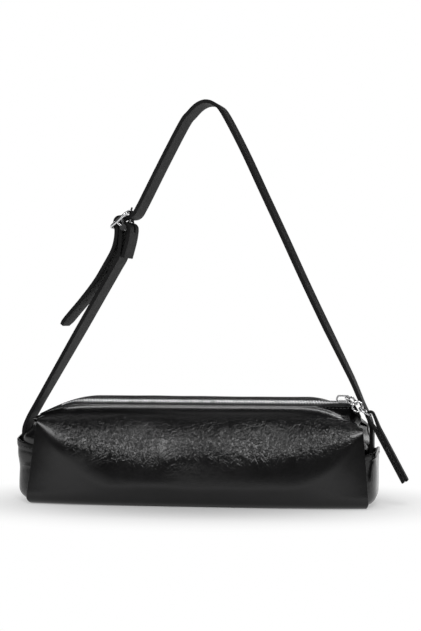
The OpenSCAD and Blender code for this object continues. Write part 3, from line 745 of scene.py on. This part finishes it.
# Leather puller: one narrow strip of firm leather folded through the last ring, its two layers glued
# and cut square, with painted edges.
def firm_leather(name, colour, gloss):
    """Firm strap leather: fine pores, soft creases, a low even sheen and a line pressed along each edge."""
    f = Finish(name, IOR=1.45, Specular_IOR_Level=0.1)
    at = f.node("TexCoord", None, "Object")
    pores = f.node("TexVoronoi", None, "Distance", Vector=at, Scale=1300.0)
    web = f.node("TexVoronoi", {"feature": "DISTANCE_TO_EDGE"}, "Distance", Vector=at, Scale=620.0)
    soft = f.node("TexNoise", None, "Fac", Vector=at, Scale=210.0, Detail=5.0, Roughness=0.6)
    patch = f.node("TexNoise", None, "Fac", Vector=at, Scale=42.0, Detail=2.0)
    edge = abs(f.node("SeparateXYZ", None, "X", f.node("TexCoord", None, "UV")) - 0.5)
    line = f.step(edge, 0.405, 0.42) * f.step(edge, 0.435, 0.42)
    height = pores * 0.25 + f.step(web, 0.0, 0.15) * 0.35 + soft * 0.6 - line * 0.8
    darker = (*[c * 0.75 for c in colour], 1)
    return f.set(Base_Color=f.between(f.step(patch, 0.3, 0.7), darker, (*colour, 1)),
                 Roughness=gloss + (soft - 0.5) * 0.2, Normal=f.bump(height, 0.0003, 0.25))


def edge_paint(name, colour):
    """Smooth paint over a cut edge, a little uneven and darker than the leather, with the dips between its
    lumps painted darker as painted shade.
    """
    f = Finish(name, Specular_IOR_Level=0.12)
    at = f.node("TexCoord", None, "Object")
    lumps = f.node("TexNoise", None, "Fac", Vector=at, Scale=380.0, Detail=3.0)
    # The dips between the lumps are painted darker: painted shade.
    return f.set(Base_Color=f.between(lumps, (*[c * 0.8 for c in colour], 1), (*colour, 1)),
                 Roughness=0.34 + lumps * 0.14, Normal=f.bump(lumps, 0.0002, 0.5))


strap_finish = firm_leather("strap_black_leather", (0.011, 0.0108, 0.0111), 0.55)
strap_edge = edge_paint("strap_edge_paint", (0.0025, 0.0025, 0.0026))


def path_normal(path, i):
    """The way that a strap faces at a point of its path of (x, z) places."""
    a, b = np.array(path[max(i - 1, 0)]), np.array(path[min(i + 1, len(path) - 1)])
    v = b - a
    return np.array([-v[1], v[0]]) / np.linalg.norm(v)


def fine_curve(points, n):
    """A smooth curve through points, n steps between neighbours."""
    points = [np.array(p, float) for p in points]
    last, out = len(points) - 1, []
    for i in range(last):
        p0, p1, p2, p3 = points[max(i - 1, 0)], points[i], points[i + 1], points[min(i + 2, last)]
        for k in range(n):
            t = k / n
            out.append(0.5 * (2 * p1 + (p2 - p0) * t + (2 * p0 - 5 * p1 + 4 * p2 - p3) * t * t
                              + (3 * p1 - p0 - 3 * p2 + p3) * t ** 3))
    return out + [points[last]]


STRIP = 2.3                            # thickness of one layer
STRIP_LONG = 61                        # from the ring to the square end
STRIP_WIDE, STRIP_NECK = 12, 4.6       # width of the strip, and of its loop in the ring
half = STRIP / 2 + 0.5
loop = WIRE / 2 + 0.8 + STRIP / 2
neck = mix(half, loop, 0.7)
turn_over = [(loop * math.cos(math.radians(a)), loop * math.sin(math.radians(a)))
             for a in range(180, -1, -30)]
straight = [STRIP_LONG, STRIP_LONG * 0.66, STRIP_LONG * 0.33, 12]
pull_path = fine_curve([(-half, -z) for z in straight] + [(-neck, -5)] + turn_over + [(neck, -5)]
                       + [(half, -z) for z in reversed(straight)], 4)
places = np.zeros((len(pull_path), 9, 3))
turn = Matrix.Rotation(math.radians(-2), 4, "Z") @ Matrix.Rotation(math.radians(-28), 4, "Y")
for i, (x, z) in enumerate(pull_path):
    width = mix(STRIP_NECK, STRIP_WIDE, clamp((-z - 2) / 9))
    for j in range(9):
        y = width * (-0.5 + j / 8)
        places[i, j] = turn @ Vector((x, y, z)) + loop_at
faces_up = turn.to_3x3() @ Vector((0, 0, 1))
puller = lay_sheet("leather_puller", places, faces_up, STRIP, 0.0, 0.7, 3, rim=1)
puller.data.materials.append(strap_finish)
puller.data.materials.append(strap_edge)
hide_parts("pull_strip")
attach(puller, "puller")
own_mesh(puller)

# Shoulder strap: firm black leather 26 mm wide, its edges painted. The long part runs from the right
# end through the buckle and hangs free in a tail with clipped corners; the short part rises from the
# left end and is folded over the buckle's bar.
STRAP_WIDTH = 26.0
STRAP_THICK = 3.0


def strap_shear(z):
    """How far the standing strap is skewed at a height, in place along the bag for each unit of width."""
    return math.tan(math.radians(4.5 * clamp((z - 85) / 60)))


def strap_sheet(name, path, foot_side, tail):
    """A strap laid along a path of (x, z) places, with a round foot at its sewn end."""
    way, round_by = (-1, 1)[foot_side], [math.radians(a) for a in range(4, 91, 8)]
    points = [(way * STRAP_X, SWING_HEIGHT - STRAP_WIDTH / 2 * math.cos(a)) for a in round_by] + list(path)
    widths = [STRAP_WIDTH * math.sin(a) for a in round_by] + [STRAP_WIDTH] * len(path)
    run, k = 0.0, len(points) - 1
    while tail and run < 6 and k > 0:
        widths[k] = min(widths[k], mix(17.5, STRAP_WIDTH, clamp(run / 4.5)))
        run += float(np.linalg.norm(np.array(points[k]) - np.array(points[k - 1])))
        k -= 1
    places = np.zeros((len(points), 13, 3))
    for i, (x, z) in enumerate(points):
        for j in range(13):
            y = widths[i] * (-0.5 + j / 12)
            places[i, j] = (x + y * strap_shear(z), y, z)
    n = path_normal(points, len(points) // 2)
    piece = lay_sheet(name, places, (n[0], 0, n[1]), STRAP_THICK, 0.0, 0.7, 3, rim=1)
    piece.data.materials.append(strap_finish)
    piece.data.materials.append(strap_edge)
    return piece


def cut(piece, cutter):
    """Cuts one closed shape out of another and clears the cutter away."""
    apply_modifier(piece, "BOOLEAN", operation="DIFFERENCE", solver="EXACT", object=cutter)
    bpy.data.objects.remove(cutter)


def block(place, size):
    """A square punch about a point, in millimetres."""
    bpy.ops.object.select_all(action="DESELECT")
    bpy.ops.mesh.primitive_cube_add(size=1)
    tool = bpy.context.object
    tool.data.transform(Matrix.Translation(Vector(place) * MM) @ Matrix.Diagonal((*[c * MM for c in size], 1)))
    return tool


def punch(place, axis, radius, depth):
    """A round punch through a point along a direction, all in millimetres."""
    bpy.ops.object.select_all(action="DESELECT")
    bpy.ops.mesh.primitive_cylinder_add(vertices=20, radius=radius * MM, depth=depth * MM)
    tool = bpy.context.object
    turn = Vector((0, 0, 1)).rotation_difference(Vector(axis).normalized()).to_matrix().to_4x4()
    tool.data.transform(Matrix.Translation(Vector(place) * MM) @ turn)
    return tool


long_points = RIGHT_LEG + (
    (107.4, 152.2), (90.9, 187), (74.2, 223.6), (57.5, 259.5), (40.7, 295.6), (24.6, 326.4), (17.6, 334),
    (10, 336.4), (2.4, 333.6), (-4.6, 326.8), (-10.6, 319.2), (-27, 288.6), (-44.1, 255.2), (-47.6, 248.6),
    (-51, 242.8), (-54.4, 240.4), (-58.4, 240), (-62, 240.2), (-65, 239.6), (-66.8, 237.4), (-66.9, 234.6),
    (-66.2, 231), (-66.1, 226), (-67.2, 218.6), (-69.8, 211), (-76.2, 199.6), (-84.5, 186), (-96.1, 171),
    (-106.8, 158.6), (-114.8, 149))
BAR = (-58.8, 231.2)       # place of the buckle's bar
FOLD = 3.5                 # from the bar's middle to the middle of the strap folded over it
short_points = LEFT_LEG + ((-96, 152.4), (-82.8, 175), (-69.6, 197.5), (-64.6, 206.5), (-63, 216),
                           (BAR[0] - FOLD, BAR[1] - 4)) \
    + tuple((BAR[0] + FOLD * math.cos(math.radians(a)), BAR[1] + FOLD * math.sin(math.radians(a)))
            for a in range(180, -1, -30)) \
    + ((BAR[0] + FOLD - 0.2, BAR[1] - 4), (-56.8, 220), (-59, 211.6), (-60.6, 206))
long_curve = fine_curve(long_points, 5)
strap_long = strap_sheet("long_strap", long_curve, 1, True)
cut(strap_long, block((-57.6, 0, 240), (5.5, 3.6, 9)))
for share in (0.905, 0.925, 0.945, 0.965):
    k = int(share * (len(long_curve) - 1))
    p, n = long_curve[k], path_normal(long_curve, k)
    cut(strap_long, punch((p[0], 0, p[1]), (n[0], 0, n[1]), 1.3, 8))
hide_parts("strap_long")
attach(strap_long, "strap")
strap_short = strap_sheet("short_strap", fine_curve(short_points, 5), 0, False)
cut(strap_short, block((BAR[0], 0, BAR[1] + 1), (3 * FOLD, 5, 2 * FOLD + 2)))
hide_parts("strap_short")
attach(strap_short, "strap")

# Buckle: a rounded frame of bent silver-plated wire, the bar held in the short strap's fold and a
# pointed prong that turns on the bar and passes through the long strap. They are the solids themselves.
buckle_finish = bright_metal("buckle_plating", (0.74, 0.74, 0.75), 0.16, 0.4)
for node in ("buckle_frame", "buckle_bar", "buckle_prong"):
    refinish(node, buckle_finish)

# Inside: a dark woven lining that hangs loosely inside the leather, over a stiff board on the base.
# Neither is seen while the zip is closed.
lining_finish = cloth_finish("lining_cloth", (0.05, 0.05, 0.053), (0.1, 0.1, 0.105), 180.0, 320.0, 0.2)
refinish("base_board", firm_leather("board", (0.08, 0.075, 0.07), 0.7))
steps = np.linspace(-0.87, 0.87, 41)
places = np.zeros((len(steps), 61, 3))
for i, s in enumerate(steps):
    front, back = half_section(s, True), half_section(s, False)
    line = [(-y, z) for y, z in front[5:]] + [(y, z) for y, z in reversed(back[5:-1])]
    line = spread(line, 60)
    inward = np.gradient(line, axis=0)
    inward = np.stack([-inward[:, 1], inward[:, 0]], axis=1)
    inward /= np.linalg.norm(inward, axis=1, keepdims=True)
    if inward[30, 1] < 0:
        inward = -inward
    line = line + inward * 4.3
    for j, (y, z) in enumerate(line):
        places[i, j] = (s * (END_X - INSET[side_of(s)]), y, z)
lining = lay_sheet("lining_cloth", places, (0, 0, -1), 0.5, -1.0)
lining.data.materials.append(lining_finish)
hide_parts("lining")
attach(lining, "bag")

# Studio: a plain white floor and backdrop. Two soft lights above the front give the dome its gloss, a
# third stands higher, two stand behind, one hangs overhead, and a long narrow one behind picks out the
# teeth. The surround is dim.
def stage_finish(name, glow):
    """White paint that the camera and reflections see as plain white away from the object. Near it,
    where glow is its own share of light, it keeps the object's shadow."""
    f = Finish(name, Base_Color=(0.95, 0.95, 0.95, 1), Roughness=0.8, Specular_IOR_Level=0.1)
    camera_ray, glossy_ray, through = (
        f.node("LightPath", None, "Is %s Ray" % kind) for kind in ("Camera", "Glossy", "Transmission"))
    seen = f.node("Math", {"operation": "MAXIMUM"}, 0, camera_ray, glossy_ray)
    seen = f.node("Math", {"operation": "MAXIMUM"}, 0, seen, through)
    around = f.vector("MULTIPLY", f.node("TexCoord", None, "Object"), (0.75, 1.0, 1.0))
    away = f.node("VectorMath", {"operation": "LENGTH"}, "Value", around)
    share = seen * f.step(away, 0.04, 0.2, glow, 1.0)
    light = f.node("Emission", None, 0, (1, 1, 1, 1), 1.0)
    both = f.node("MixShader", None, 0, share, Wire(f, f.shader.outputs[0]), light)
    f.feed(f.tree.nodes["Material Output"].inputs[0], both)
    return f.material


bpy.ops.object.select_all(action="DESELECT")
bpy.ops.mesh.primitive_plane_add(size=1, location=(0, 2.2, -0.0003))
floor = bpy.context.object
floor.scale = (8, 6.6, 1)
bpy.ops.object.transform_apply(location=True, rotation=True, scale=True)
floor.name = "floor"
floor.data.materials.append(stage_finish("white_floor", 0.05))
bpy.ops.object.select_all(action="DESELECT")
bpy.ops.mesh.primitive_plane_add(size=1, location=(0, 3.2, 0.3), rotation=(math.radians(90), 0, 0))
backdrop = bpy.context.object
backdrop.scale = (12, 0.7, 1)
bpy.ops.object.transform_apply(location=True, rotation=True, scale=True)
backdrop.name = "backdrop"
backdrop.data.materials.append(stage_finish("white_backdrop", 1.0))


def soft_light(name, place, target, width, height, power):
    """A flat soft lamp at a place in metres, turned towards a target."""
    bpy.ops.object.light_add(type="AREA", location=place)
    lamp = bpy.context.object
    lamp.name = name
    lamp.data.shape = "RECTANGLE"
    lamp.data.size, lamp.data.size_y, lamp.data.energy = width, height, power
    lamp.rotation_euler = (Vector(target) - Vector(place)).to_track_quat("-Z", "Y").to_euler()


soft_light("key_left", (-0.8, -1.4, 1.08), (0, 0, 0.06), 0.55, 0.5, 8.0)
soft_light("key_right", (0.35, -1.5, 1.08), (0, 0, 0.06), 0.55, 0.5, 11.2)
soft_light("high", (0.0, -1.1, 1.55), (0, 0, 0.06), 0.6, 0.5, 3.0)
soft_light("back_left", (-1.3, 0.9, 1.1), (0, 0, 0.0), 0.8, 0.8, 0.4)
soft_light("back_right", (1.3, 0.9, 1.1), (0, 0, 0.0), 0.8, 0.8, 3.5)
soft_light("top", (0.0, 0.15, 1.8), (0, 0, 0.0), 1.3, 0.7, 1.8)
soft_light("hair", (0.0, 1.4, 1.27), (0, 0, 0.08), 1.8, 0.25, 5.0)
world = bpy.data.worlds.new("studio")
bpy.context.scene.world = world
world.use_nodes = True
tree = world.node_tree
tree.nodes.clear()
surround = tree.nodes.new("ShaderNodeMixShader")
tree.links.new(tree.nodes.new("ShaderNodeLightPath").outputs["Is Camera Ray"], surround.inputs[0])
for k, strength in ((1, 0.05), (2, 1.0)):
    shine = tree.nodes.new("ShaderNodeBackground")
    shine.inputs["Color"].default_value = (1, 1, 1, 1)
    shine.inputs["Strength"].default_value = strength
    tree.links.new(shine.outputs[0], surround.inputs[k])
tree.links.new(surround.outputs[0], tree.nodes.new("ShaderNodeOutputWorld").inputs["Surface"])
bpy.context.scene.view_settings.view_transform = "Standard"
